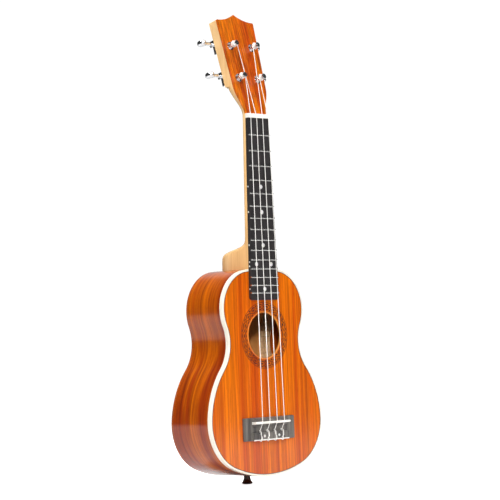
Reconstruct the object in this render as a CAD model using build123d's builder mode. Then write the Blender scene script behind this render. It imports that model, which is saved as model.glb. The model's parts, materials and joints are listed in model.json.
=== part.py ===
"""Soprano ukulele: hollow body, neck with tilted headstock, open-geared tuners and four strings.

Millimetres. +Z runs up the neck, the strings face -Y and +X is to the right seen from the strings.
The origin is the centre of the end pin's outer face.
"""

import os
from math import cos, exp, pi, radians, sin, tan

from build123d import *

# ---- Driving dimensions ------------------------------------------------------------------------
SCALE_LENGTH = 345.0
SADDLE_SETBACK = 2.3  # compensation: the saddle stands this far beyond the scale length
FRET_COUNT = 15
PIN_LENGTH = 9.8  # end pin's height below the body, so also the body's lowest z
PIN_DEPTH = 36.5  # end pin's axis behind the soundboard's face
NUT_Z = 418.4
TAIL_DEPTH = 65.4
HEEL_DEPTH = 56.8
BODY_TOP = 246.3  # z of the body's upper end, where the heel depth is measured

# Tangent arcs of the body outline, from the tail up: radius and the angle where each one ends,
# counted from straight down. The waist is hollow, and the last arc closes on the centre line.
TAIL_R, TAIL_END = 153.0, 21.0
LOWER_CORNER_R, LOWER_CORNER_END = 57.0, 94.0
LOWER_SIDE_R, LOWER_SIDE_END = 99.0, 129.7
WAIST_R, WAIST_END = 46.0, 65.7
UPPER_R, UPPER_END = 45.0, 175.0

RIM_T = 2.2  # ribs, and the binding's width
BINDING_H = 5.0
PLATE_T = 2.0
LINING_W, LINING_H, BACK_LINING_H = 5.5, 6.0, 13.0
KERF_STEP, KERF_W, KERF_WEB = 7.0, 0.8, 1.2  # saw cuts in the linings, and the wood left at the ribs
BLOCK_HALF, BLOCK_T = 22.0, 14.0
HOLE_R = 26.0
HOLE_Z = 170.0

FINGERBOARD_T = 3.5
NUT_HALF = 17.4
NUT_LENGTH = 5.0
BOARD_END_HALF = 22.8
BOARD_LENGTH = 208.2
FRET_CROWN_W, FRET_CROWN_H = 2.0, 1.0
NECK_DEPTH_NUT, NECK_DEPTH_HEEL = 12.6, 14.5
HEEL_BACK = 52.0  # heel's depth behind the fingerboard
HEEL_RISE, HEEL_SOFTNESS = 23.0, 2.2  # where the heel ends above the body, and how gently

NUT_STRING_LIFT = 2.4  # string centre above the fingerboard, at the nut
SADDLE_STRING_LIFT = 9.3  # string centre above the soundboard, at the saddle
STRING_R = 0.4
NUT_SPACING, SADDLE_SPACING = 9.67, 11.93

HEAD_TILT = 14.3
VENEER_T = 1.3
HEAD_T = 12.8  # veneer and wood together
HEAD_TOP_HALF, HEAD_TOP = 30.2, 119.6  # upper corners, along the headstock
HEAD_PEAK = 127.7
CROWN_MID = (14.0, 121.5)  # the crown's hollow
HEAD_CORNER_R = 1.5
SHOULDER_RISE = 37.0  # where the sides turn in, measured up from the fingerboard's end
SHOULDER_TOP_HALF, SHOULDER_FOOT_HALF = 26.7, 17.5

# Tuners: (post's distance from the centre line, its distance along the headstock)
UPPER_POST = (17.2, 87.4)
LOWER_POST = (15.7, 48.5)
POST_R, POST_WAIST_R, POST_PROUD = 3.0, 2.4, 12.0
WINDING_H = 7.5  # string's height above the headstock's face
RUNNING_GAP = 0.05
GEAR_MODULE, GEAR_TEETH = 0.75, 15
GEAR_W = 3.2
WORM_PITCH_R, WORM_TURNS = 2.45, 4
PLATE_GAUGE = 1.2
WORM_RISE = 4.6  # worm axis behind the headstock's back
BUTTON_OUT = 27.0  # button's centre outside the post
BUTTON_LONG, BUTTON_WIDE, BUTTON_T = 10.0, 11.0, 6.2
BUTTON_NECK_R = 2.2
# The four tuners from the left, as (side, post): the outer strings go to the lower posts
TUNERS = ((-1, LOWER_POST), (-1, UPPER_POST), (1, UPPER_POST), (1, LOWER_POST))
POST_TIP_R = 3.2
BUSHING_R, BUSHING_DEPTH = 4.0, 6.0
TENON_R = 2.0  # where the gear sits on the post
GEAR_SCREW_R, GEAR_SCREW_HEAD_R, GEAR_SCREW_DEPTH = 1.0, 2.4, 5.0
SHAFT_R = 1.5
EAR_IN, EAR_OUT, EAR_W, EAR_H = 7.5, 11.5, 7.0, 7.4  # ears hold the worm shaft, in and out of the post
PLATE_H, PLATE_MID_UP = 17.8, 2.9
SIDE_WALL_H = 2.0
LUG_UP, LUG_R = (-10.5, 14.5), 4.0
SCREW_R, SCREW_HEAD_R, SCREW_DEPTH = 1.1, 2.1, 8.0
PRESSURE_ANGLE = 20.0
THREAD_GAP, TOOTH_GAP = 0.06, 0.16  # taken off each flank, for backlash
EAR_GAP = 0.15  # end play between the ears and the worm shaft's shoulders

# Strings, bridge and fingerboard details
STRING_BENDS = (1.1, 1.1, 2.0, 4.0, 4.0)
SLOT_GAP = 0.05
BRIDGE_HALF, BRIDGE_MID_HALF, BRIDGE_W = 41.4, 28.5, 26.0
WING_H, TIE_H, TIE_W, RIDGE_H = 2.6, 6.0, 9.0, 5.6
RIDGE_BELOW, RIDGE_ABOVE = 3.0, 2.6  # ridge's land on each side of the saddle's middle
SADDLE_HALF, SADDLE_W, SADDLE_FOOT = 28.5, 2.8, 1.5  # foot: wood left under the saddle
STRIP_W = 1.3
BRIDGE_DOT_R, BRIDGE_DOT_X = 1.6, (-12.0, 12.0)
TANG_W, TANG_DEPTH = 0.6, 1.8
DOT_R, DOT_DEPTH = 2.5, 1.2
SIDE_DOT_R, SIDE_DOT_SHIFT = 1.0, 2.4
SINGLE_DOTS, DOUBLE_DOT, DOUBLE_DOT_X = (5, 7, 10, 15), 12, 12.0
BOARD_CORNER_R = 4.0
HEEL_FOOT, HEEL_TOP, HEEL_STEPS = -4.0, 44.0, 32  # heel's sections, measured from the body's top
BLEND_STEPS, BLEND_INSET = 14, 0.1  # headstock's shoulder, just inside the veneer's outline

# Braces as (centre x, centre z, length, width, tilt, height)
SOUNDBOARD_BARS = (
    (0, 207, 140, 6, 0, 7),
    (0, 134, 160, 6, 0, 7),
    (-34, 106, 44, 5, 70, 5),
    (34, 106, 44, 5, -70, 5),
)
BRIDGE_PLATE = ((0, 64, 96, 34, 0, 1.6),)
LABEL_MIDDLE, LABEL_LONG, LABEL_HIGH, LABEL_T = (0.0, 160.0), 46.0, 26.0, 0.2
BACK_BARS = ((0, 58, 190, 9, 0, 8), (0, 130, 190, 7, 0, 8), (0, 208, 190, 7, 0, 8))
PIN_SHANK_R, PIN_SHANK_TOP = 3.0, 26.0
DOWEL_R, DOWEL_LENGTH = 4.0, 26.0

# ---- Derived sizes -----------------------------------------------------------------------------
TOP_Y = -PIN_DEPTH
DOWEL_Y = (TOP_Y + 14, TOP_Y + 36)
CHANNEL_Y = TOP_Y - WING_H
TIE_HOLE_Y = TOP_Y - 3.8
WORM_ABOVE = -HEAD_T - WORM_RISE  # worm's and gear's middle, measured from the headstock's face
BOARD_Y = TOP_Y - FINGERBOARD_T
SADDLE_Z = NUT_Z - SCALE_LENGTH - SADDLE_SETBACK
BRIDGE_Z = SADDLE_Z - 20.0  # bridge's lower edge
BRIDGE_DOT_Z = BRIDGE_Z + TIE_W / 2 + 0.4
BACK_SLOPE = (TAIL_DEPTH - HEEL_DEPTH) / (BODY_TOP - PIN_LENGTH)
NUT_STRING_Y = BOARD_Y - NUT_STRING_LIFT
SADDLE_STRING_Y = TOP_Y - SADDLE_STRING_LIFT
GEAR_PITCH_R = GEAR_MODULE * GEAR_TEETH / 2
WORM_UP = GEAR_PITCH_R + WORM_PITCH_R
THREAD_PITCH = pi * GEAR_MODULE

FACE_UP = (Align.CENTER, Align.MAX, Align.CENTER)  # rises towards the strings from its place

# Outer face of the back, and the headstock's face with its local y up along the headstock
BACK = Plane(
    origin=(0, TOP_Y + TAIL_DEPTH, PIN_LENGTH), x_dir=(1, 0, 0), z_dir=(0, 1, BACK_SLOPE)
)
HEAD_ORIGIN_Y = BOARD_Y + 2.0
HEAD = Plane(
    origin=(0, HEAD_ORIGIN_Y, NUT_Z),
    x_dir=(1, 0, 0),
    z_dir=(0, -cos(radians(HEAD_TILT)), sin(radians(HEAD_TILT))),
)

os.makedirs("parts", exist_ok=True)


def save(piece, name):
    """Label a finished piece and write it as its own node."""
    piece.part.label = name
    export_step(piece.part, f"parts/{name}.step")


def front_plane(y):
    """Plane facing the strings at depth y, with local x and y along +X and +Z."""
    return Plane.XZ.offset(-y)


def fret_z(number):
    """Height of a fret, by the equal-tempered rule."""
    return NUT_Z - SCALE_LENGTH * (1 - 2 ** (-number / 12))


def board_half(z):
    """Fingerboard's half-width at height z."""
    return NUT_HALF + (BOARD_END_HALF - NUT_HALF) * (NUT_Z - z) / BOARD_LENGTH


def back_inner_y(z):
    """Depth of the back's inner face at height z."""
    return TOP_Y + TAIL_DEPTH - PLATE_T - BACK_SLOPE * (z - PIN_LENGTH)


# ---- Body --------------------------------------------------------------------------------------
def outline_arcs(inset):
    """Right half of the body outline as (centre, radius, start angle, sweep) for CenterArc."""

    def direction(angle):
        return Vector(sin(radians(angle)), -cos(radians(angle)))

    tail = Vector(0, PIN_LENGTH + TAIL_R)
    corner = tail + direction(TAIL_END) * (TAIL_R - LOWER_CORNER_R)
    side = corner + direction(LOWER_CORNER_END) * (LOWER_CORNER_R - LOWER_SIDE_R)
    waist = side + direction(LOWER_SIDE_END) * (LOWER_SIDE_R + WAIST_R)
    upper = waist - direction(WAIST_END) * (WAIST_R + UPPER_R)
    top_r = UPPER_R + upper.X / sin(radians(UPPER_END))
    top = upper + direction(UPPER_END) * (UPPER_R - top_r)
    return (
        (tail, TAIL_R - inset, -90, TAIL_END),
        (corner, LOWER_CORNER_R - inset, TAIL_END - 90, LOWER_CORNER_END - TAIL_END),
        (side, LOWER_SIDE_R - inset, LOWER_CORNER_END - 90, LOWER_SIDE_END - LOWER_CORNER_END),
        (waist, WAIST_R + inset, LOWER_SIDE_END + 90, WAIST_END - LOWER_SIDE_END),
        (upper, UPPER_R - inset, WAIST_END - 90, UPPER_END - WAIST_END),
        (top, top_r - inset, UPPER_END - 90, 180 - UPPER_END),
    )


def body_profile(inset=0.0):
    """Closed body outline, inset from the ribs' outer face."""
    with BuildSketch() as profile:
        with BuildLine():
            for centre, radius, start, sweep_angle in outline_arcs(inset):
                CenterArc(centre, radius, start, sweep_angle)
            mirror(about=Plane.YZ)
        make_face()
    return profile.sketch


def trim_to_back(clearance=0.0):
    """Cut the current part off at the back plate's inner face."""
    split(bisect_by=BACK.offset(-PLATE_T - clearance), keep=Keep.BOTTOM)


def make_soundboard():
    with BuildPart() as soundboard:
        with BuildSketch(front_plane(TOP_Y)):
            add(body_profile(RIM_T))
            with Locations((0, HOLE_Z)):
                Circle(HOLE_R, mode=Mode.SUBTRACT)
        extrude(amount=-PLATE_T)
    save(soundboard, "soundboard")


def make_back():
    with BuildPart() as back_plate:
        with BuildSketch(front_plane(0)):
            add(body_profile(0))
        extrude(amount=-60)
        split(bisect_by=BACK, keep=Keep.BOTTOM)
        split(bisect_by=BACK.offset(-PLATE_T), keep=Keep.TOP)
    save(back_plate, "back_plate")


def make_rib(name, side):
    """One bent side, from the binding to the back, with half of the end pin's and dowels' holes."""
    with BuildPart() as rib:
        with BuildSketch(front_plane(TOP_Y + BINDING_H)):
            add(body_profile(0))
            add(body_profile(RIM_T), mode=Mode.SUBTRACT)
            with Locations((-side * 100, BODY_TOP / 2)):
                Rectangle(200, 400, mode=Mode.SUBTRACT)
        extrude(amount=-80)
        trim_to_back()
        with Locations((0, 0, PIN_LENGTH + RIM_T / 2)):
            Cylinder(PIN_SHANK_R, 4 * RIM_T, mode=Mode.SUBTRACT)
        with Locations(*[(0, y, BODY_TOP) for y in DOWEL_Y]):
            Cylinder(DOWEL_R, 8 * RIM_T, mode=Mode.SUBTRACT)
    save(rib, name)


def make_binding():
    with BuildPart() as binding:
        with BuildSketch(front_plane(TOP_Y)):
            add(body_profile(0))
            add(body_profile(RIM_T), mode=Mode.SUBTRACT)
        extrude(amount=-BINDING_H)
        front_edges = binding.faces().sort_by(Axis.Y)[0].outer_wire().edges()
        chamfer(front_edges, 0.4)
    save(binding, "binding")


def kerf_locations():
    """Places of the saw cuts along both linings, square to the outline."""
    places = []
    for centre, radius, start, sweep_angle in outline_arcs(RIM_T + LINING_W):
        count = round(radius * radians(abs(sweep_angle)) / KERF_STEP)
        for step in range(count):
            angle = start + sweep_angle * (step + 0.5) / count
            x = centre.X + radius * cos(radians(angle))
            z = centre.Y + radius * sin(radians(angle))
            places += [Location((x, z), angle), Location((-x, z), 180 - angle)]
    return places


def make_linings(name, y_front, thickness, follow_back):
    """Kerfed strips glued in the corner of the ribs and a plate, one each side, between the blocks."""
    with BuildPart() as linings:
        with BuildSketch(front_plane(y_front)):
            add(body_profile(RIM_T))
            add(body_profile(RIM_T + LINING_W), mode=Mode.SUBTRACT)
            Rectangle(2 * BLOCK_HALF + 0.4, 3 * BODY_TOP, mode=Mode.SUBTRACT)
        extrude(amount=-thickness)
        if follow_back:
            trim_to_back()
            split(bisect_by=BACK.offset(-PLATE_T - BACK_LINING_H), keep=Keep.TOP)
        with BuildSketch(front_plane(y_front)):
            with Locations(*kerf_locations()):
                Rectangle(2 * (LINING_W - KERF_WEB), KERF_W)
        extrude(amount=-TAIL_DEPTH, mode=Mode.SUBTRACT)
    save(linings, name)


def make_block(name, z_low, z_high, bores):
    """Solid block between the plates that the ribs' ends are glued to; bores are (y, radius)."""
    with BuildPart() as block:
        with BuildSketch(front_plane(TOP_Y + PLATE_T)):
            add(body_profile(RIM_T))
            with Locations((0, (z_low + z_high) / 2)):
                Rectangle(2 * BLOCK_HALF, z_high - z_low, mode=Mode.INTERSECT)
        extrude(amount=-90)
        trim_to_back()
        for y, radius in bores:
            with Locations((0, y, (z_low + z_high) / 2)):
                Cylinder(radius, z_high - z_low, mode=Mode.SUBTRACT)
    save(block, name)


def make_bars(name, bars, on_back):
    """Braces: each bar is (centre x, centre z, length along x, width along z, tilt, height)."""
    inset = RIM_T + LINING_W + 0.5
    height = max(bar[5] for bar in bars)
    with BuildPart() as braces:
        for x, z, length, width, tilt, bar_height in bars:
            face_y = back_inner_y(z) - bar_height if on_back else TOP_Y + PLATE_T
            with BuildSketch(front_plane(face_y)):
                with Locations(Location((x, z), tilt)):
                    Rectangle(length, width)
            extrude(amount=-bar_height - (2 if on_back else 0))
        with BuildSketch(front_plane(TOP_Y)):
            add(body_profile(inset))
        extrude(amount=-TAIL_DEPTH - height, mode=Mode.INTERSECT)
        if on_back:
            trim_to_back()
    save(braces, name)


def make_label():
    """Blank paper label on the back's inner face, behind the soundhole."""
    with BuildPart() as label:
        with BuildSketch(front_plane(0)):
            with Locations(LABEL_MIDDLE):
                RectangleRounded(LABEL_LONG, LABEL_HIGH, 1)
        extrude(amount=-TAIL_DEPTH)
        trim_to_back()
        split(bisect_by=BACK.offset(-PLATE_T - LABEL_T), keep=Keep.TOP)
    save(label, "label")


def make_end_pin():
    """Flared strap button whose shank goes through the ribs into the tail block."""
    with BuildPart() as end_pin:
        with BuildSketch(Plane.XZ):
            with BuildLine():
                Line((0, 0), (3.0, 0))
                ThreePointArc((3.0, 0), (4.9, 0.25), (6.1, 1.1))
                ThreePointArc((6.1, 1.1), (6.3, 1.7), (5.9, 2.3))
                ThreePointArc((5.9, 2.3), (4.3, 5.6), (3.9, PIN_LENGTH - 1.2))
                Polyline(
                    (3.9, PIN_LENGTH - 1.2),
                    (4.3, PIN_LENGTH - 0.05),
                    (PIN_SHANK_R, PIN_LENGTH - 0.05),
                    (PIN_SHANK_R, PIN_SHANK_TOP),
                    (0, PIN_SHANK_TOP),
                    (0, 0),
                )
            make_face()
        revolve(axis=Axis.Z)
    save(end_pin, "end_pin")


# ---- Neck --------------------------------------------------------------------------------------
def heel_share(rise):
    """How much of the heel's extra depth is left at this height above the body: 1 down to 0."""
    return 1 / (1 + exp((rise - HEEL_RISE) / HEEL_SOFTNESS))


def shoulder_half(rise):
    """Headstock's half-width low on its shoulder, at this height above the nut's foot."""
    share = (rise - NUT_LENGTH) / (SHOULDER_RISE - NUT_LENGTH)
    eased = share * share * (3 - 2 * share)
    return SHOULDER_FOOT_HALF + (SHOULDER_TOP_HALF - SHOULDER_FOOT_HALF) * eased


def neck_section(z, half_width, depth, squareness):
    """Cross-section at height z: flat under the fingerboard, a superellipse behind."""
    steps = 14
    points = []
    for step in range(steps + 1):
        angle = pi * step / steps
        across = abs(cos(angle)) ** (2 / squareness)
        side = 1 if 2 * step < steps else -1
        behind = max(sin(angle), 0.0) ** (2 / squareness)
        points.append((side * half_width * across, TOP_Y + depth * behind))
    with BuildSketch(Plane.XY.offset(z)) as section:
        with BuildLine():
            Spline(*points, tangents=((0, 1), (0, -1)))
            Line(points[-1], points[0])
        make_face()
    return section.sketch


def head_depth_y(z, behind_face):
    """Depth of the plane that lies behind the headstock's face by this much, at height z."""
    return HEAD_ORIGIN_Y + (z - NUT_Z) * tan(radians(HEAD_TILT)) + behind_face / cos(radians(HEAD_TILT))


def head_outline():
    """Headstock outline: hollow crown with a central point, sides closing to the nut."""
    rises = [SHOULDER_RISE + (NUT_LENGTH - SHOULDER_RISE) * step / 5 for step in range(6)]
    shoulder = [(shoulder_half(rise), rise / cos(radians(HEAD_TILT))) for rise in rises]
    side_slope = (shoulder[0][0] - HEAD_TOP_HALF, shoulder[0][1] - HEAD_TOP)
    with BuildSketch() as outline:
        with BuildLine():
            ThreePointArc((0, HEAD_PEAK), CROWN_MID, (HEAD_TOP_HALF, HEAD_TOP))
            Line((HEAD_TOP_HALF, HEAD_TOP), shoulder[0])
            Spline(*shoulder, tangents=(side_slope, (0, -1)))
            Line(shoulder[-1], (0, shoulder[-1][1]))
            mirror(about=Plane.YZ)
        make_face()
        fillet(outline.vertices().sort_by(Axis.X)[0], HEAD_CORNER_R)
        fillet(outline.vertices().sort_by(Axis.X)[-1], HEAD_CORNER_R)
    return outline.sketch


def head_spot(side, post, out=0.0, up=0.0):
    """Place on the headstock, given from a tuner's post: outwards and up along the headstock."""
    return (side * (post[0] + out), post[1] + up)


def head_point(side, post, out=0.0, up=0.0, above=0.0):
    """The same place as a point in space, at a height above the headstock's face."""
    x, along = head_spot(side, post, out, up)
    return HEAD.from_local_coords(Vector(x, along, above))


def make_neck():
    nut_end = NUT_Z + NUT_LENGTH
    shoulder_top = NUT_Z + SHOULDER_RISE
    sections = []
    for step in range(HEEL_STEPS + 1):
        rise = HEEL_FOOT + (HEEL_TOP - HEEL_FOOT) * step / HEEL_STEPS
        z = BODY_TOP + rise
        depth = neck_depth(z) + (HEEL_BACK - neck_depth(z)) * heel_share(rise)
        sections.append(neck_section(z, board_half(z), depth, 2 + 2 * heel_share(rise)))
    for z in (NUT_Z, nut_end):
        sections.append(neck_section(z, NUT_HALF, NECK_DEPTH_NUT, 2))
    for step in range(1, BLEND_STEPS + 1):
        share = step / BLEND_STEPS
        z = nut_end + (shoulder_top - nut_end) * share
        rear = max(head_depth_y(z, HEAD_T - BLEND_INSET), TOP_Y + NECK_DEPTH_NUT)
        half_width = shoulder_half(z - NUT_Z) - BLEND_INSET
        sections.append(neck_section(z, half_width, rear - TOP_Y, 2 + 6 * share**2))
    with BuildPart() as neck:
        # headstock, cut level where the shoulder begins
        with BuildSketch(HEAD.offset(-VENEER_T)):
            add(head_outline())
        extrude(amount=-(HEAD_T - VENEER_T))
        split(bisect_by=Plane.XY.offset(shoulder_top - 0.5), keep=Keep.TOP)
        # heel, handle and shoulder
        loft(sections, ruled=True)
        # seat of the veneer, from the nut upwards
        with BuildSketch(Plane.YZ):
            with BuildLine():
                Polyline(
                    (TOP_Y - 5, nut_end),
                    (head_depth_y(nut_end, VENEER_T), nut_end),
                    (head_depth_y(shoulder_top + 5, VENEER_T), shoulder_top + 5),
                    (TOP_Y - 5, shoulder_top + 5),
                    close=True,
                )
            make_face()
        extrude(amount=2 * SHOULDER_TOP_HALF, both=True, mode=Mode.SUBTRACT)
        # body joint
        with BuildSketch(front_plane(TOP_Y - 10)):
            add(body_profile())
        extrude(amount=-100, mode=Mode.SUBTRACT)
        with Locations(*[(0, y, BODY_TOP) for y in DOWEL_Y]):
            Cylinder(DOWEL_R, DOWEL_LENGTH, mode=Mode.SUBTRACT)
        # tuner bores: wide for the bushing in front, post-sized behind it
        with BuildSketch(HEAD):
            with Locations(*[head_spot(side, post) for side, post in TUNERS]):
                Circle(BUSHING_R)
        extrude(amount=-BUSHING_DEPTH, mode=Mode.SUBTRACT)
        with BuildSketch(HEAD):
            with Locations(*[head_spot(side, post) for side, post in TUNERS]):
                Circle(POST_R + 0.4)
        extrude(amount=-HEAD_T - 5, mode=Mode.SUBTRACT)
        with BuildSketch(HEAD.offset(-HEAD_T)):
            with Locations(*screw_spots()):
                Circle(SCREW_R)
        extrude(amount=SCREW_DEPTH, mode=Mode.SUBTRACT)
    save(neck, "neck")


def neck_depth(z):
    """Neck's depth behind the fingerboard at height z."""
    along = (z - BODY_TOP) / (NUT_Z - BODY_TOP)
    return NECK_DEPTH_HEEL + (NECK_DEPTH_NUT - NECK_DEPTH_HEEL) * min(along, 1.0)


def make_dowels():
    with BuildPart() as neck_dowels:
        with Locations(*[(0, y, BODY_TOP) for y in DOWEL_Y]):
            Cylinder(DOWEL_R, DOWEL_LENGTH)
    save(neck_dowels, "neck_dowels")


def make_veneer():
    with BuildPart() as veneer:
        with BuildSketch(HEAD):
            add(head_outline())
            with Locations(*[head_spot(side, post) for side, post in TUNERS]):
                Circle(BUSHING_R, mode=Mode.SUBTRACT)
        extrude(amount=-VENEER_T)
        split(bisect_by=Plane.XY.offset(NUT_Z + NUT_LENGTH), keep=Keep.TOP)
    save(veneer, "headstock_veneer")


# ---- Fingerboard -------------------------------------------------------------------------------
def make_fingerboard():
    foot = NUT_Z - BOARD_LENGTH
    with BuildPart() as fingerboard:
        with BuildSketch(front_plane(TOP_Y)):
            Polygon(
                (-NUT_HALF, NUT_Z),
                (-BOARD_END_HALF, foot),
                (BOARD_END_HALF, foot),
                (NUT_HALF, NUT_Z),
                align=None,
            )
        extrude(amount=FINGERBOARD_T)
        corners = fingerboard.edges().filter_by(Axis.Y).group_by(Axis.Z)[0]
        fillet(corners, BOARD_CORNER_R)
        for number in range(1, FRET_COUNT + 1):
            with Locations((0, BOARD_Y, fret_z(number))):
                Box(60, 2 * TANG_DEPTH, TANG_W, mode=Mode.SUBTRACT)
        with BuildSketch(front_plane(BOARD_Y)):
            with Locations(*[(x, z) for x, z in front_dot_places()]):
                Circle(DOT_R)
        extrude(amount=-DOT_DEPTH, mode=Mode.SUBTRACT)
        for z in side_dot_heights():
            with Locations(side_dot_location(z)):
                Cylinder(SIDE_DOT_R, 2 * DOT_DEPTH, mode=Mode.SUBTRACT)
    save(fingerboard, "fingerboard")


def make_frets():
    """Fret wire: a rounded crown on a tang, cut to the board's width at each fret."""
    with BuildPart() as frets:
        for number in range(1, FRET_COUNT + 1):
            z = fret_z(number)
            half = board_half(z) - 0.1
            with BuildSketch(Plane(origin=(-half, BOARD_Y, z), x_dir=(0, 0, 1), z_dir=(1, 0, 0))):
                with BuildLine():
                    half_w = FRET_CROWN_W / 2
                    ThreePointArc((-half_w, 0), (0, FRET_CROWN_H), (half_w, 0))
                    Polyline(
                        (half_w, 0),
                        (TANG_W / 2, 0),
                        (TANG_W / 2, -TANG_DEPTH),
                        (-TANG_W / 2, -TANG_DEPTH),
                        (-TANG_W / 2, 0),
                        (-half_w, 0),
                    )
                make_face()
            extrude(amount=2 * half)
    save(frets, "frets")


def between_frets(number):
    """Middle of the space behind a fret."""
    return (fret_z(number - 1) + fret_z(number)) / 2


def front_dot_places():
    single = [(0, between_frets(number)) for number in SINGLE_DOTS]
    return single + [(x, between_frets(DOUBLE_DOT)) for x in (-DOUBLE_DOT_X, DOUBLE_DOT_X)]


def side_dot_heights():
    double = [between_frets(DOUBLE_DOT) + shift for shift in (-SIDE_DOT_SHIFT, SIDE_DOT_SHIFT)]
    return [between_frets(number) for number in SINGLE_DOTS] + double


def side_dot_location(z):
    """Place on the fingerboard's left edge, facing out of it."""
    lean = (BOARD_END_HALF - NUT_HALF) / BOARD_LENGTH
    y = TOP_Y - FINGERBOARD_T / 2
    return Location(Plane(origin=(-board_half(z), y, z), x_dir=(0, 1, 0), z_dir=(-1, 0, -lean)))


def make_dots():
    with BuildPart() as front_dots:
        with BuildSketch(front_plane(BOARD_Y)):
            with Locations(*[(x, z) for x, z in front_dot_places()]):
                Circle(DOT_R)
        extrude(amount=-DOT_DEPTH)
    save(front_dots, "front_dots")
    with BuildPart() as side_dots:
        for z in side_dot_heights():
            with Locations(side_dot_location(z)):
                Cylinder(SIDE_DOT_R, DOT_DEPTH, align=(Align.CENTER, Align.CENTER, Align.MAX))
    save(side_dots, "side_dots")


# ---- Strings and what they rest on -------------------------------------------------------------
def string_route(number):
    """Corners of one string's path: tie block, saddle crown, nut and the post's inner side."""
    side, post = TUNERS[number]
    saddle_x = (number - 1.5) * SADDLE_SPACING
    nut_x = (number - 1.5) * NUT_SPACING
    loop_y = TOP_Y - TIE_H - STRING_R - 0.05
    loop_z = BRIDGE_Z - STRING_R - 0.5
    end = head_point(side, post, out=-(POST_R + 2 * STRING_R + 0.3), above=WINDING_H)
    return [
        Vector(saddle_x, loop_y, BRIDGE_Z + TIE_W - 0.6),
        Vector(saddle_x, loop_y, loop_z),
        Vector(saddle_x, TIE_HOLE_Y, loop_z),
        Vector(saddle_x, TIE_HOLE_Y, BRIDGE_Z + TIE_W + 1.2),
        Vector(saddle_x, SADDLE_STRING_Y, SADDLE_Z),
        Vector(nut_x, NUT_STRING_Y, NUT_Z + 0.8),
        end,
    ]


def string_tube(number, radius):
    """One string as a round tube of this radius along its route."""
    with BuildPart() as tube:
        with BuildLine() as route:
            FilletPolyline(*string_route(number), radius=STRING_BENDS)
        with BuildSketch(Plane(origin=route.line @ 0, z_dir=route.line % 0)):
            Circle(radius)
        sweep()
    return tube


def make_nut():
    crest_y = NUT_STRING_Y - 0.1
    with BuildPart() as nut:
        with BuildSketch(Plane(origin=(-NUT_HALF, 0, 0), x_dir=(0, 1, 0), z_dir=(1, 0, 0))):
            with BuildLine():
                Polyline(
                    (TOP_Y, NUT_Z),
                    (crest_y, NUT_Z),
                    (crest_y, NUT_Z + 1.2),
                    (crest_y + 1.9, NUT_Z + NUT_LENGTH),
                    (TOP_Y, NUT_Z + NUT_LENGTH),
                    close=True,
                )
            make_face()
        extrude(amount=2 * NUT_HALF)
        fillet(nut.edges().filter_by(Axis.X).sort_by(Axis.Y)[1], 0.5)
        for number in range(len(TUNERS)):
            add(string_tube(number, STRING_R + SLOT_GAP).part, mode=Mode.SUBTRACT)
    save(nut, "nut")


def make_bridge():
    """Low wings and a raised middle that holds the saddle's slot, a channel and the tie block."""
    rise = [
        (TOP_Y, BRIDGE_Z),
        (TOP_Y - TIE_H, BRIDGE_Z),
        (TOP_Y - TIE_H, BRIDGE_Z + TIE_W),
        (CHANNEL_Y, BRIDGE_Z + TIE_W),
        (CHANNEL_Y, SADDLE_Z - RIDGE_BELOW - 0.6),
        (TOP_Y - RIDGE_H, SADDLE_Z - RIDGE_BELOW),
        (TOP_Y - RIDGE_H, SADDLE_Z + RIDGE_ABOVE),
        (TOP_Y - WING_H - 0.4, BRIDGE_Z + BRIDGE_W - 0.8),
        (TOP_Y, BRIDGE_Z + BRIDGE_W),
    ]
    with BuildPart() as bridge:
        with BuildSketch(Plane(origin=(-BRIDGE_MID_HALF, 0, 0), x_dir=(0, 1, 0), z_dir=(1, 0, 0))):
            with BuildLine():
                Polyline(*rise, close=True)
            make_face()
        extrude(amount=2 * BRIDGE_MID_HALF)
        with BuildSketch(front_plane(TOP_Y)):
            with Locations((0, BRIDGE_Z + BRIDGE_W / 2)):
                RectangleRounded(2 * BRIDGE_HALF, BRIDGE_W, 1.5)
                Rectangle(2 * BRIDGE_MID_HALF, BRIDGE_W, mode=Mode.SUBTRACT)
        extrude(amount=WING_H)
        outer = [edge for edge in bridge.edges().filter_by(Axis.Z) if abs(edge.center().X) > BRIDGE_HALF - 1]
        chamfer([edge for edge in outer if edge.center().Y < TOP_Y - WING_H + 0.1], 0.6)
        with Locations((0, TOP_Y - SADDLE_FOOT, SADDLE_Z)):
            Box(2 * SADDLE_HALF, RIDGE_H, SADDLE_W, align=FACE_UP, mode=Mode.SUBTRACT)
        with Locations((0, TOP_Y - TIE_H, BRIDGE_Z)):
            Box(2 * SADDLE_HALF, 2 * STRIP_W, 2 * STRIP_W, mode=Mode.SUBTRACT)
        with BuildSketch(front_plane(TOP_Y - TIE_H)):
            with Locations(*[(x, BRIDGE_DOT_Z) for x in BRIDGE_DOT_X]):
                Circle(BRIDGE_DOT_R)
        extrude(amount=-DOT_DEPTH, mode=Mode.SUBTRACT)
        for number in range(len(TUNERS)):
            add(string_tube(number, STRING_R + 0.2).part, mode=Mode.SUBTRACT)
    save(bridge, "bridge")


def make_saddle():
    foot_y = TOP_Y - SADDLE_FOOT
    crown_y = SADDLE_STRING_Y + STRING_R
    low_z, high_z = SADDLE_Z - SADDLE_W / 2, SADDLE_Z + SADDLE_W / 2
    with BuildPart() as saddle:
        with BuildSketch(Plane(origin=(-SADDLE_HALF, 0, 0), x_dir=(0, 1, 0), z_dir=(1, 0, 0))):
            with BuildLine():
                Polyline((crown_y + 1.3, low_z), (foot_y, low_z), (foot_y, high_z), (crown_y + 0.5, high_z))
                ThreePointArc((crown_y + 0.5, high_z), (crown_y, SADDLE_Z + 0.3), (crown_y + 1.3, low_z))
            make_face()
        extrude(amount=2 * SADDLE_HALF)
        for number in range(len(TUNERS)):
            add(string_tube(number, STRING_R + SLOT_GAP).part, mode=Mode.SUBTRACT)
    save(saddle, "saddle")


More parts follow.
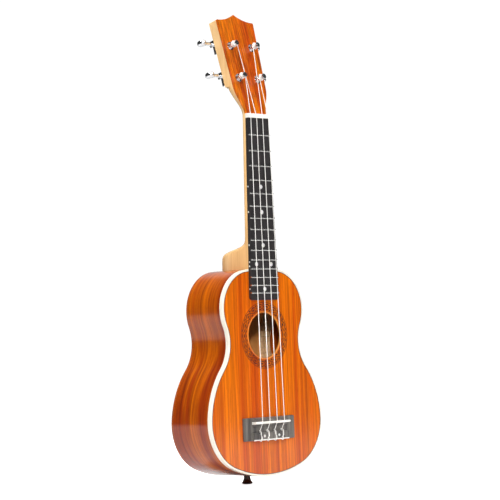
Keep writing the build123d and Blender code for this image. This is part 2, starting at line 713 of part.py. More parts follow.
def make_bridge_trim():
    with BuildPart() as bridge_dots:
        with BuildSketch(front_plane(TOP_Y - TIE_H)):
            with Locations(*[(x, BRIDGE_DOT_Z) for x in BRIDGE_DOT_X]):
                Circle(BRIDGE_DOT_R)
        extrude(amount=-DOT_DEPTH)
    save(bridge_dots, "bridge_dots")
    with BuildPart() as tie_strip:
        with Locations((0, TOP_Y - TIE_H, BRIDGE_Z)):
            Box(2 * SADDLE_HALF, STRIP_W, STRIP_W, align=(Align.CENTER, Align.MIN, Align.MIN))
    save(tie_strip, "tie_strip")


def make_strings():
    for number in range(len(TUNERS)):
        tube = string_tube(number, STRING_R)
        save(tube, f"string_{number + 1}")
        print("string", number + 1, "length", round(tube.part.volume / (pi * STRING_R**2), 1))


# ---- Tuners ------------------------------------------------------------------------------------
def screw_spots():
    """Two mounting screws for each tuner, above and below it."""
    return [head_spot(side, post, up=up) for side, post in TUNERS for up in LUG_UP]


def shaft_plane(side, post, out):
    """Plane across a worm shaft at a distance outside the post, facing outwards."""
    return Plane(
        origin=head_point(side, post, out, WORM_UP, WORM_ABOVE), x_dir=HEAD.y_dir, z_dir=(side, 0, 0)
    )


def make_worm_blank():
    """Worm shaft about Z, outwards along +Z: a right-handed thread on a stepped, turned bar."""
    root_r = WORM_PITCH_R - 1.25 * GEAR_MODULE
    tip_r = WORM_PITCH_R + 0.93 * GEAR_MODULE
    slope = tan(radians(PRESSURE_ANGLE))
    half = THREAD_PITCH / 4 - THREAD_GAP
    length = WORM_TURNS * THREAD_PITCH
    core = (length + THREAD_PITCH) / 2
    ear_face = EAR_OUT - PLATE_GAUGE - EAR_GAP
    steps = (
        (-EAR_IN - EAR_GAP - 1.2, SHAFT_R + 0.8),
        (-EAR_IN - EAR_GAP, SHAFT_R),
        (-core, root_r),
        (core, SHAFT_R + 0.6),
        (ear_face, SHAFT_R),
        (EAR_OUT + EAR_GAP, SHAFT_R + 1.0),
        (EAR_OUT + 2.0, SHAFT_R),
    )
    ends = [start for start, _ in steps[1:]] + [BUTTON_OUT]
    outline = [(0, steps[0][0])]
    for (start, radius), end in zip(steps, ends):
        outline += [(radius, start), (radius, end)]
    with BuildPart() as worm:
        with BuildSketch(Plane.XZ):
            with BuildLine():
                Polyline(*outline, (0, BUTTON_OUT), close=True)
            make_face()
        revolve(axis=Axis.Z)
        with BuildLine() as path:
            Helix(THREAD_PITCH, length, root_r, center=(0, 0, -length / 2))
        with BuildSketch(Plane(origin=path.line @ 0, x_dir=(1, 0, 0), z_dir=path.line % 0)):
            with BuildLine():
                Polyline(
                    (-0.1, -half - slope * (WORM_PITCH_R - root_r + 0.1)),
                    (tip_r - root_r, -half + slope * (tip_r - WORM_PITCH_R)),
                    (tip_r - root_r, half - slope * (tip_r - WORM_PITCH_R)),
                    (-0.1, half + slope * (WORM_PITCH_R - root_r + 0.1)),
                    close=True,
                )
            make_face()
        sweep(is_frenet=True)
    return worm


def make_gear_blank():
    """Gear about Z with its first tooth along +X; the teeth lean to follow the worm's thread."""
    slope = tan(radians(PRESSURE_ANGLE))
    tip_r = GEAR_PITCH_R + 0.9 * GEAR_MODULE
    root_r = GEAR_PITCH_R - 1.2 * GEAR_MODULE
    half = THREAD_PITCH / 4 - TOOTH_GAP
    lean = THREAD_PITCH / (2 * pi * WORM_PITCH_R)
    with BuildPart() as tooth:
        with BuildSketch():
            Polygon(
                (root_r - 0.4, -half - slope * (GEAR_PITCH_R - root_r + 0.4)),
                (tip_r, -half + slope * (tip_r - GEAR_PITCH_R)),
                (tip_r, half - slope * (tip_r - GEAR_PITCH_R)),
                (root_r - 0.4, half + slope * (GEAR_PITCH_R - root_r + 0.4)),
                align=None,
            )
        extrude(amount=GEAR_W / 2 * (1 + lean**2) ** 0.5, dir=(0, lean, 1), both=True)
    with BuildPart() as gear:
        Cylinder(root_r, GEAR_W)
        with PolarLocations(0, GEAR_TEETH):
            add(tooth.part)
        Cylinder(TENON_R, GEAR_W, mode=Mode.SUBTRACT)
    return gear


def make_tuner(number, worm_blank, gear_blank):
    side, post = TUNERS[number]
    label = f"{number + 1}"
    back = -HEAD_T
    gear_front, gear_back = WORM_ABOVE + GEAR_W / 2, WORM_ABOVE - GEAR_W / 2
    with BuildPart() as plate:
        with BuildSketch(HEAD.offset(back)):
            with Locations(head_spot(side, post, (EAR_OUT - EAR_IN) / 2, PLATE_MID_UP)):
                RectangleRounded(EAR_OUT + EAR_IN, PLATE_H, 1.2)
            for up in LUG_UP:
                with Locations(head_spot(side, post, up=up)):
                    Circle(LUG_R)
                with Locations(head_spot(side, post, up=up * 0.75)):
                    Rectangle(2 * LUG_R, abs(up) / 2)
        extrude(amount=-PLATE_GAUGE)
        with BuildSketch(HEAD.offset(back - PLATE_GAUGE)):
            for out in (EAR_OUT - PLATE_GAUGE / 2, -EAR_IN + PLATE_GAUGE / 2):
                with Locations(head_spot(side, post, out, WORM_UP)):
                    Rectangle(PLATE_GAUGE, EAR_W)
        extrude(amount=-(EAR_H - PLATE_GAUGE))
        with BuildSketch(HEAD.offset(back - PLATE_GAUGE)):
            with Locations(head_spot(side, post, EAR_OUT - PLATE_GAUGE / 2, PLATE_MID_UP)):
                Rectangle(PLATE_GAUGE, PLATE_H - 1.0)
        extrude(amount=-SIDE_WALL_H)
        with BuildSketch(HEAD.offset(back)):
            with Locations(head_spot(side, post)):
                Circle(POST_R + RUNNING_GAP)
            with Locations(*[head_spot(side, post, up=up) for up in LUG_UP]):
                Circle(SCREW_R + 0.2)
        extrude(amount=-PLATE_GAUGE, mode=Mode.SUBTRACT)
        with BuildSketch(shaft_plane(side, post, -EAR_IN - 1)):
            Circle(SHAFT_R + RUNNING_GAP)
        extrude(amount=EAR_IN + EAR_OUT + 2, mode=Mode.SUBTRACT)
    save(plate, f"tuner_plate_{label}")

    with BuildPart() as worm_shaft:
        add(worm_blank.part.moved(Location(shaft_plane(side, post, 0))))
    save(worm_shaft, f"worm_shaft_{label}")

    with BuildPart() as button:
        centre = head_point(side, post, BUTTON_OUT, WORM_UP, WORM_ABOVE)
        with BuildSketch(Plane(origin=centre, x_dir=(1, 0, 0), z_dir=HEAD.y_dir)):
            Ellipse(BUTTON_LONG / 2, BUTTON_WIDE / 2)
        extrude(amount=BUTTON_T / 2, both=True)
        fillet(button.edges(), BUTTON_T / 2 - 0.7)
        with BuildSketch(shaft_plane(side, post, EAR_OUT + 2.5)):
            Circle(BUTTON_NECK_R)
        extrude(amount=BUTTON_OUT - 2 - EAR_OUT - 2.5)
        with BuildSketch(shaft_plane(side, post, 0)):
            Circle(SHAFT_R)
        extrude(amount=BUTTON_OUT, mode=Mode.SUBTRACT)
    save(button, f"tuner_button_{label}")

    with BuildPart() as gear:
        add(gear_blank.part.moved(Location(Plane(
            origin=head_point(side, post, above=WORM_ABOVE), x_dir=HEAD.y_dir, z_dir=HEAD.z_dir
        ))))
    save(gear, f"tuner_gear_{label}")

    with BuildPart() as tuner_post:
        with BuildSketch(Plane(origin=head_point(side, post), x_dir=(1, 0, 0), z_dir=-HEAD.y_dir)):
            with BuildLine():
                Polyline(
                    (0, gear_back),
                    (TENON_R, gear_back),
                    (TENON_R, gear_front),
                    (POST_R, gear_front),
                    (POST_R, WINDING_H - 2.6),
                    (POST_WAIST_R, WINDING_H - 2.0),
                    (POST_WAIST_R, POST_PROUD - 2.2),
                    (POST_TIP_R, POST_PROUD - 1.0),
                    (POST_TIP_R, POST_PROUD - 0.4),
                    (POST_TIP_R - 0.5, POST_PROUD),
                    (0, POST_PROUD),
                    close=True,
                )
            make_face()
        revolve(axis=Axis(head_point(side, post), HEAD.z_dir))
        with BuildSketch(HEAD.offset(gear_back)):
            with Locations(head_spot(side, post)):
                Circle(GEAR_SCREW_R)
        extrude(amount=GEAR_SCREW_DEPTH, mode=Mode.SUBTRACT)
    save(tuner_post, f"tuner_post_{label}")

    with BuildPart() as winding:
        for turn in (-1, 0, 1):
            with BuildSketch(HEAD.offset(WINDING_H + turn * 2 * STRING_R - STRING_R)):
                with Locations(head_spot(side, post)):
                    Circle(POST_WAIST_R + 2 * STRING_R)
                    Circle(POST_WAIST_R, mode=Mode.SUBTRACT)
            extrude(amount=2 * STRING_R)
    save(winding, f"string_winding_{label}")

    with BuildPart() as gear_screw:
        with BuildSketch(HEAD.offset(gear_back)):
            with Locations(head_spot(side, post)):
                Circle(GEAR_SCREW_HEAD_R)
        extrude(amount=-1.4)
        chamfer(gear_screw.faces().sort_by(Axis.Y)[-1].edges(), 0.4)
        with BuildSketch(HEAD.offset(gear_back)):
            with Locations(head_spot(side, post)):
                Circle(GEAR_SCREW_R)
        extrude(amount=GEAR_SCREW_DEPTH)
        with BuildSketch(HEAD.offset(gear_back - 1.4)):
            with Locations(head_spot(side, post)):
                Rectangle(2 * GEAR_SCREW_HEAD_R, 0.6)
        extrude(amount=0.7, mode=Mode.SUBTRACT)
    save(gear_screw, f"gear_screw_{label}")


def make_tuner_fittings():
    with BuildPart() as bushings:
        for start, end, radius in ((-BUSHING_DEPTH, 0, BUSHING_R), (0, 0.9, 4.8), (0.9, 2.4, 3.9)):
            with BuildSketch(HEAD.offset(start)):
                with Locations(*[head_spot(side, post) for side, post in TUNERS]):
                    Circle(radius)
            extrude(amount=end - start)
        with BuildSketch(HEAD.offset(-BUSHING_DEPTH)):
            with Locations(*[head_spot(side, post) for side, post in TUNERS]):
                Circle(POST_R + RUNNING_GAP)
        extrude(amount=BUSHING_DEPTH + 3, mode=Mode.SUBTRACT)
    save(bushings, "bushings")

    with BuildPart() as screws:
        head_plane = HEAD.offset(-HEAD_T - PLATE_GAUGE)
        for plane, amount, radius in (
            (head_plane, -1.3, SCREW_HEAD_R),
            (head_plane, PLATE_GAUGE + SCREW_DEPTH, SCREW_R),
        ):
            with BuildSketch(plane):
                with Locations(*screw_spots()):
                    Circle(radius)
            extrude(amount=amount)
        with BuildSketch(head_plane.offset(-1.3)):
            with Locations(*screw_spots()):
                Rectangle(2 * SCREW_HEAD_R, 0.5)
                Rectangle(0.5, 2 * SCREW_HEAD_R)
        extrude(amount=0.7, mode=Mode.SUBTRACT)
    save(screws, "mounting_screws")


def make_body():
    make_soundboard()
    make_back()
    make_rib("rib_left", -1)
    make_rib("rib_right", 1)
    make_binding()
    make_linings("soundboard_linings", TOP_Y + PLATE_T, LINING_H, False)
    make_linings("back_linings", 0, 60, True)
    make_block("neck_block", BODY_TOP - RIM_T - BLOCK_T, BODY_TOP, [(y, DOWEL_R) for y in DOWEL_Y])
    make_block("tail_block", PIN_LENGTH - 1, PIN_LENGTH + RIM_T + BLOCK_T, [(0, PIN_SHANK_R)])
    make_bars("soundboard_braces", SOUNDBOARD_BARS, False)
    make_bars("bridge_plate", BRIDGE_PLATE, False)
    make_bars("back_braces", BACK_BARS, True)
    make_label()
    make_end_pin()


def main():
    make_body()
    make_neck()
    make_dowels()
    make_veneer()
    make_fingerboard()
    make_frets()
    make_dots()
    make_nut()
    make_bridge()
    make_saddle()
    make_bridge_trim()
    make_strings()
    worm_blank = make_worm_blank()
    gear_blank = make_gear_blank()
    for number in range(len(TUNERS)):
        make_tuner(number, worm_blank, gear_blank)
    make_tuner_fittings()


if __name__ == "__main__":
    main()
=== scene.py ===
import json
from math import atan2, cos, pi, radians, sin

import bmesh
import bpy
from mathutils import Matrix, Vector


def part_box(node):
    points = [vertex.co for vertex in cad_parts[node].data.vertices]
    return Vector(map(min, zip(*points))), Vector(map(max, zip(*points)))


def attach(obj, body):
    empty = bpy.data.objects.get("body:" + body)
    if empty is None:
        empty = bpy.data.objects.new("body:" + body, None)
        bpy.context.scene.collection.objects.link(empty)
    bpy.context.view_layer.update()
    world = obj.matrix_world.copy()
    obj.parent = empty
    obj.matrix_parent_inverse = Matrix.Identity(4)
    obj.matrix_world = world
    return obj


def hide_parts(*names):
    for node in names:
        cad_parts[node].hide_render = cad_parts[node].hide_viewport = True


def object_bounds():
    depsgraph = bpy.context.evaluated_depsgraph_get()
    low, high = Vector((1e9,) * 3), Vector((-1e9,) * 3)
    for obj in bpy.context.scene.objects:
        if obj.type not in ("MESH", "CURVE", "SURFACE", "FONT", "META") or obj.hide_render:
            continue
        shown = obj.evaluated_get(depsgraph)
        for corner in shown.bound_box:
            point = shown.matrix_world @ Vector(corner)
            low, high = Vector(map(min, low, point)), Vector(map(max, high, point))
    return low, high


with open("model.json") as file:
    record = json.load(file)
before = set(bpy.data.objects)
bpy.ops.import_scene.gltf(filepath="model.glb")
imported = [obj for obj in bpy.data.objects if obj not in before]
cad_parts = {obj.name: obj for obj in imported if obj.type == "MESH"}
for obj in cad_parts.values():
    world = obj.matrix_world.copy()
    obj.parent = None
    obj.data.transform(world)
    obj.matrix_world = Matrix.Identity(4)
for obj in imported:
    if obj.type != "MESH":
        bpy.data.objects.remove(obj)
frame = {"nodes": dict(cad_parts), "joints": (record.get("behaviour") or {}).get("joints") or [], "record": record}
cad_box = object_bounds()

# ---- Sizes, in metres, in the frame's own axes --------------------------------------------------
MM = 0.001
HOLE_R = 26.0 * MM
STRING_R = 0.4 * MM
POST_WAIST_R = 2.4 * MM
STRING_ABOVE_HEAD = 7.5 * MM  # where a string meets its post, above the headstock's face
STRING_BESIDE_POST = 4.1 * MM  # the string's end, inwards from the post's axis
SADDLE_SPACING = 11.93 * MM
SAME_PLACE = 0.01 * MM

soundhole = next(o for o in frame["record"]["physics"]["openings"] if o["name"] == "soundhole")
HOLE_Z = (soundhole["box_m"][0][2] + soundhole["box_m"][1][2]) / 2
TOP_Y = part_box("soundboard")[0].y
BODY_LOW, BODY_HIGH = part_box("back_plate")
BODY_MID_Z = (BODY_LOW.z + BODY_HIGH.z) / 2
BRIDGE_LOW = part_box("bridge")[0]
STRIP_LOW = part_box("tie_strip")[0]

# Rosette: an etched braid between two border lines
ROSETTE_BORDERS = ((28.4 * MM, 0.5 * MM), (37.6 * MM, 0.7 * MM))  # middle radius and width
BRAID_MIDDLE, BRAID_SWING = 32.8 * MM, 2.9 * MM
BRAID_WAVES, STEPS_PER_WAVE = 9, 24
BRAID_HALF_W, BRAID_SWELL = 0.45 * MM, 0.3 * MM  # half width at a crossing, and what a crest adds
EYE_SEED = (2.4 * MM, 1.1 * MM)  # half length and half width
EDGE_SEED = (1.9 * MM, 0.9 * MM)
EDGE_SEED_RADII = (BRAID_MIDDLE - 3.1 * MM, BRAID_MIDDLE + 2.9 * MM)
SEED_BLUNTNESS = 0.3
INLAY_PROUD, INLAY_DEEP = 0.03 * MM, 0.15 * MM

PURFLING_W = 0.7 * MM
BACK_SKIN = 0.3 * MM  # how far behind the back's inner face its bare wood reaches

# Label: a border rule along its top and bottom, and short rules at its right
LABEL_T = 0.2 * MM
LABEL_MARGIN, RULE_HALF_H = 2.0 * MM, 0.45 * MM
RULE_START, RULE_INSET = 24.0 * MM, 1.5 * MM
RULE_FIRST, RULE_STEP, RULE_COUNT = 5.0 * MM, 5.0 * MM, 4
RULE_PROUD, RULE_DEEP = 0.08 * MM, 0.02 * MM

CAMERA_PLACE = (-1.74388, -1.70804, 0.16388)
CAMERA_AZIMUTH, CAMERA_ELEVATION, CAMERA_ROLL = -45.9126, -2.4665, -2.2324
CAMERA_LENS, CAMERA_SENSOR = 152.291, 36.0

WHITE = (1, 1, 1, 1)
LIGHT_TARGET = (0, 0, 0.25)
LIGHTS = (  # name, place, diameter, watts
    ("key", (-0.6, -2.7, 2.0), 1.6, 50),
    ("low", (-2.1, -2.2, 1.1), 0.6, 16),
    ("fill", (1.3, -2.2, 2.6), 1.8, 20),
    ("side", (-1.3, -0.1, 3.0), 1.2, 82),
    ("rear", (0.4, 1.0, 3.2), 1.8, 40),
)
BEAM_WAY, BEAM_REACH = (0.66, 0.70, -0.27), 2.0
BEAM_WATTS, BEAM_SPREAD, BEAM_SOFTNESS, BEAM_SIZE = 260, 1.0, 0.4, 0.02

# Sky: dim, but for the zenith and a patch at the right rear; values are start, end and two levels
SKY_ZENITH = (0.70, 0.95, 0.05, 0.55)
SKY_PATCH_WAY, SKY_PATCH = (0.62, 0.70, 0.34), (0.80, 0.97, 0.0, 0.5)
SKY_SEEN = 1.05
FLOOR_R, FLOOR_GAP, FLOOR_GLOW = 6.0, 0.2 * MM, 0.05
FLOOR_LIT_TO, FLOOR_DIM_FROM = 0.5, 2.2

# Grain scales, in cells per metre across the grain twice and along it
FINE_GRAIN = (620.0, 300.0, 9.0)
PORE_GRAIN = (2100.0, 2100.0, 90.0)
LINE_GRAIN = (260.0, 90.0, 3.0)
RIB_RUN = 0.3  # metres of grain for each radian round the body


# ---- Shader helpers -----------------------------------------------------------------------------
def colour(code):
    """Linear colour with alpha from a six-figure sRGB code."""
    parts = [int(code[i:i + 2], 16) / 255 for i in (0, 2, 4)]
    return tuple(((c + 0.055) / 1.055) ** 2.4 if c > 0.04045 else c / 12.92 for c in parts) + (1.0,)


def put(socket, value):
    """Link a socket, or set its own value."""
    if isinstance(value, bpy.types.NodeSocket):
        socket.id_data.links.new(value, socket)
    else:
        socket.default_value = value


def add_node(tree, kind, inputs=None, **settings):
    """New node with its settings, and its inputs by index or name."""
    node = tree.nodes.new(kind)
    for name, value in settings.items():
        setattr(node, name, value)
    for key, value in (inputs or {}).items():
        put(node.inputs[key], value)
    return node


def math(tree, operation, a, b):
    return add_node(tree, "ShaderNodeMath", {0: a, 1: b}, operation=operation).outputs[0]


def stretched(tree, vector, scales):
    """Coordinates multiplied by a scale for each axis."""
    node = add_node(tree, "ShaderNodeVectorMath", {0: vector, 1: scales}, operation="MULTIPLY")
    return node.outputs[0]


def noise(tree, vector, detail=3.0, roughness=0.5, distortion=0.0):
    inputs = {"Vector": vector, "Scale": 1.0, "Detail": detail, "Roughness": roughness}
    inputs["Distortion"] = distortion
    return add_node(tree, "ShaderNodeTexNoise", inputs).outputs["Fac"]


def ramp(tree, value, low, high, start=0.0, end=1.0):
    """Value mapped smoothly from low..high to start..end."""
    node = add_node(
        tree, "ShaderNodeMapRange", {0: value, 1: low, 2: high, 3: start, 4: end},
        interpolation_type="SMOOTHSTEP",
    )
    return node.outputs[0]


def mix(tree, factor, a, b):
    node = add_node(tree, "ShaderNodeMix", data_type="RGBA")
    put(node.inputs["Factor"], factor)
    put(node.inputs[6], a)
    put(node.inputs[7], b)
    return node.outputs[2]


def bump(tree, height, distance, strength):
    """Normal from a height, over a distance in metres."""
    inputs = {"Height": height, "Distance": distance, "Strength": strength}
    return add_node(tree, "ShaderNodeBump", inputs).outputs["Normal"]


def new_material(name):
    """A material's empty node tree with its shader, and the object's own coordinates."""
    material = bpy.data.materials.new(name)
    material.use_nodes = True
    tree = material.node_tree
    shader = tree.nodes["Principled BSDF"]
    place = add_node(tree, "ShaderNodeTexCoord").outputs["Object"]
    return material, tree, shader, place


def dress(shader, **inputs):
    """Set or link the shader's sockets by name, with underscores for spaces."""
    for name, value in inputs.items():
        put(shader.inputs[name.replace("_", " ")], value)


# ---- Materials ----------------------------------------------------------------------------------
def along_rib(tree, place):
    """Coordinates that follow a bent side: across the body, out from it, and along the bend."""
    split = add_node(tree, "ShaderNodeSeparateXYZ", {0: place})
    rise = math(tree, "SUBTRACT", split.outputs[2], BODY_MID_Z)
    turn = math(tree, "ARCTAN2", split.outputs[0], rise)
    run = math(tree, "MULTIPLY", turn, RIB_RUN)
    return add_node(tree, "ShaderNodeCombineXYZ", {0: split.outputs[1], 2: run}).outputs[0]


def wood(name, dark, mid, light, follow=None, ribbon=75.0, streak=0.5, pores=0.5, gloss=0.14, line=0.5):
    """Lacquered wood: broad ribbons, fine streaks and pores, all drawn out along the grain."""
    material, tree, shader, place = new_material(name)
    place = follow(tree, place) if follow else place
    broad = noise(tree, stretched(tree, place, (ribbon, ribbon / 3, ribbon / 30)), 2.0, 0.5, 0.4)
    stripes = noise(tree, stretched(tree, place, (4.5 * ribbon, ribbon, ribbon / 22)), 2.0, 0.5)
    fine = noise(tree, stretched(tree, place, FINE_GRAIN), 4.0, 0.6)
    flecks = noise(tree, stretched(tree, place, PORE_GRAIN), 2.0, 0.5)
    lines = noise(tree, stretched(tree, place, LINE_GRAIN), 2.0, 0.4)
    body = mix(tree, ramp(tree, broad, 0.36, 0.64), mid, light)
    body = mix(tree, ramp(tree, stripes, 0.40, 0.62, 0.0, 0.7 * streak), body, dark)
    body = mix(tree, ramp(tree, fine, 0.42, 0.72, 0.0, streak), body, dark)
    body = mix(tree, ramp(tree, lines, 0.58, 0.72, 0.0, line), body, dark)
    pore = ramp(tree, flecks, 0.60, 0.74)
    body = mix(tree, math(tree, "MULTIPLY", pore, pores), body, dark)
    dress(
        shader, Base_Color=body, Roughness=ramp(tree, fine, 0.2, 0.8, 0.38, 0.5),
        Normal=bump(tree, math(tree, "SUBTRACT", fine, pore), 0.00003, 0.35),
        Specular_IOR_Level=0.08, Coat_Weight=1.0, Coat_Roughness=gloss, Coat_IOR=1.45,
    )
    return material


def bare_inside(material, bare, slope, start):
    """Turn a lacquered material bare wherever it lies in front of the back's inner plane."""
    tree = material.node_tree
    shader = tree.nodes["Principled BSDF"]
    place = add_node(tree, "ShaderNodeTexCoord").outputs["Object"]
    split = add_node(tree, "ShaderNodeSeparateXYZ", {0: place})
    plane = math(tree, "ADD", math(tree, "MULTIPLY", split.outputs[2], slope), start)
    inside = math(tree, "LESS_THAN", split.outputs[1], plane)
    finish = shader.inputs["Base Color"].links[0].from_socket
    dress(shader, Base_Color=mix(tree, inside, finish, bare))
    dress(shader, Coat_Weight=math(tree, "SUBTRACT", 1.0, inside))


def bare_wood(name, dark, light):
    """Unfinished wood inside the body."""
    material, tree, shader, place = new_material(name)
    fine = noise(tree, stretched(tree, place, (500.0, 500.0, 20.0)), 4.0, 0.6)
    broad = noise(tree, stretched(tree, place, (60.0, 60.0, 9.0)), 2.0)
    shade = mix(tree, ramp(tree, fine, 0.35, 0.7), light, dark)
    shade = mix(tree, ramp(tree, broad, 0.4, 0.7, 0.0, 0.4), shade, dark)
    dress(shader, Base_Color=shade, Roughness=ramp(tree, fine, 0.2, 0.8, 0.6, 0.8))
    dress(shader, Normal=bump(tree, fine, 0.00005, 0.4))
    return material


def dense_wood(name, dark, light, rough):
    """Dark oiled wood with short open pores, for the fingerboard and bridge."""
    material, tree, shader, place = new_material(name)
    fine = noise(tree, stretched(tree, place, (1500.0, 1500.0, 60.0)), 4.0, 0.6)
    broad = noise(tree, stretched(tree, place, (160.0, 160.0, 12.0)), 3.0)
    shade = mix(tree, ramp(tree, broad, 0.3, 0.7), dark, light)
    shade = mix(tree, ramp(tree, fine, 0.58, 0.72, 0.0, 0.8), shade, colour("0B0909"))
    dress(
        shader, Base_Color=shade, Roughness=ramp(tree, fine, 0.3, 0.7, rough, rough + 0.14),
        Normal=bump(tree, fine, 0.00004, 0.5), Specular_IOR_Level=0.5,
    )
    return material


def plastic(name, tone, shadow, rough, coat):
    """Polished plastic with a faint cloudiness."""
    material, tree, shader, place = new_material(name)
    cloud = noise(tree, stretched(tree, place, (90.0, 90.0, 90.0)), 3.0, 0.55)
    grit = noise(tree, stretched(tree, place, (1800.0, 1800.0, 1800.0)), 2.0)
    dress(
        shader, Base_Color=mix(tree, ramp(tree, cloud, 0.3, 0.8, 0.0, 0.6), tone, shadow),
        Roughness=ramp(tree, cloud, 0.2, 0.8, rough, rough + 0.1),
        Normal=bump(tree, grit, 0.00001, 0.3), Coat_Weight=coat, Coat_Roughness=0.05,
    )
    return material


def pearl(name):
    """Shell-like plastic: pale flakes that lean to pink and green."""
    material, tree, shader, place = new_material(name)
    flakes = add_node(tree, "ShaderNodeTexVoronoi", {"Vector": place, "Scale": 900.0})
    swirl = noise(tree, stretched(tree, place, (700.0, 700.0, 350.0)), 2.0, 0.5, 1.5)
    shade = mix(tree, ramp(tree, swirl, 0.35, 0.65), colour("F3EFEA"), colour("D6DAD6"))
    shade = mix(tree, 0.12, shade, flakes.outputs["Color"])
    dress(shader, Base_Color=shade, Roughness=ramp(tree, swirl, 0.2, 0.8, 0.12, 0.25))
    dress(shader, Coat_Weight=0.6, Coat_Roughness=0.05)
    return material


def metal(name, tone, rough, brushed=(300.0, 300.0, 300.0), depth=0.000004):
    """Plated or polished metal with faint polishing marks."""
    material, tree, shader, place = new_material(name)
    marks = noise(tree, stretched(tree, place, brushed), 4.0, 0.6)
    smudge = noise(tree, stretched(tree, place, (140.0, 140.0, 140.0)), 2.0)
    shade = mix(tree, ramp(tree, smudge, 0.3, 0.8, 0.0, 0.25), tone, colour("8E9094"))
    dress(
        shader, Base_Color=shade, Metallic=1.0, Normal=bump(tree, marks, depth, 0.5),
        Roughness=ramp(tree, smudge, 0.3, 0.8, rough, rough + 0.10),
    )
    return material


def nylon(name):
    """Milky string: nearly white, a little clear, with faint rings of light and dark."""
    material, tree, shader, place = new_material(name)
    rings = noise(tree, stretched(tree, place, (400.0, 400.0, 400.0)), 2.0)
    dress(
        shader, Base_Color=mix(tree, ramp(tree, rings, 0.3, 0.7), colour("FFFDF8"), colour("F2EEE8")),
        Roughness=ramp(tree, rings, 0.2, 0.8, 0.22, 0.34),
    )
    return material


def paper(name):
    """Matt cream paper with fibres and a little foxing."""
    material, tree, shader, place = new_material(name)
    fibres = noise(tree, stretched(tree, place, (1600.0, 900.0, 1600.0)), 4.0, 0.7)
    stains = noise(tree, stretched(tree, place, (120.0, 120.0, 120.0)), 2.0)
    shade = mix(tree, ramp(tree, fibres, 0.3, 0.7), colour("EAD9B4"), colour("D9C49A"))
    shade = mix(tree, ramp(tree, stains, 0.5, 0.8, 0.0, 0.5), shade, colour("BE9C66"))
    dress(shader, Base_Color=shade, Roughness=ramp(tree, fibres, 0.3, 0.7, 0.75, 0.9))
    dress(shader, Normal=bump(tree, fibres, 0.00003, 0.4))
    return material


def burnt(name, tone):
    """Wood browned by etching, a little uneven."""
    material, tree, shader, place = new_material(name)
    uneven = noise(tree, stretched(tree, place, (700.0, 700.0, 500.0)), 4.0, 0.65)
    dress(shader, Base_Color=mix(tree, ramp(tree, uneven, 0.3, 0.75), tone, colour("3C1000")))
    dress(shader, Roughness=ramp(tree, uneven, 0.2, 0.8, 0.4, 0.6), Specular_IOR_Level=0.3)
    return material


MATERIALS = {
    "top": wood("mahogany_top", colour("842600"), colour("D65600"), colour("F47C00"), gloss=0.07),
    "back": wood("mahogany_back", colour("5C1C02"), colour("A03C04"), colour("C4580A")),
    "side": wood(
        "mahogany_side", colour("561600"), colour("963200"), colour("C86000"), follow=along_rib,
        ribbon=60.0, streak=0.4, gloss=0.10,
    ),
    "veneer": wood(
        "mahogany_veneer", colour("5A1800"), colour("CC4E00"), colour("F08000"), ribbon=95.0, pores=0.7
    ),
    "neck": wood(
        "pale_neck", colour("D29654"), colour("FACC8E"), colour("FFE8B8"), ribbon=45.0,
        streak=0.35, pores=0.25, gloss=0.12, line=0.15,
    ),
    "inner": bare_wood("inner_wood", colour("6E4A28"), colour("A27648")),
    "lining": bare_wood("kerfed_lining", colour("B08A60"), colour("E6C498")),
    "fingerboard": dense_wood("fingerboard_wood", colour("1F1C1D"), colour("2F2B2C"), 0.42),
    "bridge": dense_wood("bridge_wood", colour("444140"), colour("7C7770"), 0.30),
    "binding": plastic("binding_cream", colour("F7F2E4"), colour("EDE3CC"), 0.2, 0.8),
    "bone": plastic("bone_white", colour("FAF8F2"), colour("EFE9DA"), 0.22, 0.4),
    "pin": plastic("end_pin_brown", colour("46200F"), colour("2C1209"), 0.18, 0.8),
    "pearl": pearl("pearl"),
    "nylon": nylon("string_nylon"),
    "chrome": metal("chrome", colour("E8E9EB"), 0.07),
    "fret": metal("fret_wire", colour("DAD9D6"), 0.18, (1500.0, 1500.0, 200.0)),
    "brass": metal("gear_brass", colour("D8B25E"), 0.25, (900.0, 900.0, 900.0), 0.00001),
    "paper": paper("label_paper"),
    "etched": burnt("etched_wood", colour("2C0C00")),
    "edge": wood(
        "hole_edge", colour("8E4A12"), colour("C87A30"), colour("E09A4C"), streak=0.3, pores=0.1, line=0.1
    ),
}

NODE_MATERIALS = {
    "soundboard": "top", "back_plate": "back", "rib_left": "side", "rib_right": "side",
    "headstock_veneer": "veneer", "neck": "neck", "neck_dowels": "inner", "neck_block": "inner",
    "tail_block": "inner", "soundboard_linings": "lining", "back_linings": "lining",
    "soundboard_braces": "inner", "back_braces": "inner", "bridge_plate": "inner",
    "fingerboard": "fingerboard", "bridge": "bridge", "binding": "binding", "end_pin": "pin",
    "nut": "bone", "saddle": "bone", "tie_strip": "bone", "front_dots": "pearl",
    "side_dots": "pearl", "bridge_dots": "pearl", "frets": "fret", "label": "paper",
    "bushings": "chrome", "mounting_screws": "chrome", "string": "nylon", "string_winding": "nylon",
    "tuner_plate": "chrome", "worm_shaft": "chrome", "tuner_button": "chrome", "tuner_post": "chrome",
    "gear_screw": "chrome", "tuner_gear": "brass",
}


def back_inner_plane():
    """Slope and start of the back's inner plane, y against z, from the corners of its outer face."""
    back = [v.co for v in frame["nodes"]["back_plate"].data.vertices]
    low, high = min(back, key=lambda c: c.z), max(back, key=lambda c: c.z)
    inner_low = min(c.y for c in back if c.z < low.z + 0.2 * MM)
    inner_high = min(c.y for c in back if c.z > high.z - 0.2 * MM)
    slope = (inner_high - inner_low) / (high.z - low.z)
    return slope, inner_low - slope * low.z + BACK_SKIN


def dress_nodes():
    """Each CAD node takes its material; the tuners' four copies share one."""
    for name, node in frame["nodes"].items():
        kind = name.rstrip("1234").rstrip("_") if name[-1].isdigit() else name
        node.data.materials.clear()
        node.data.materials.append(MATERIALS[NODE_MATERIALS[kind]])


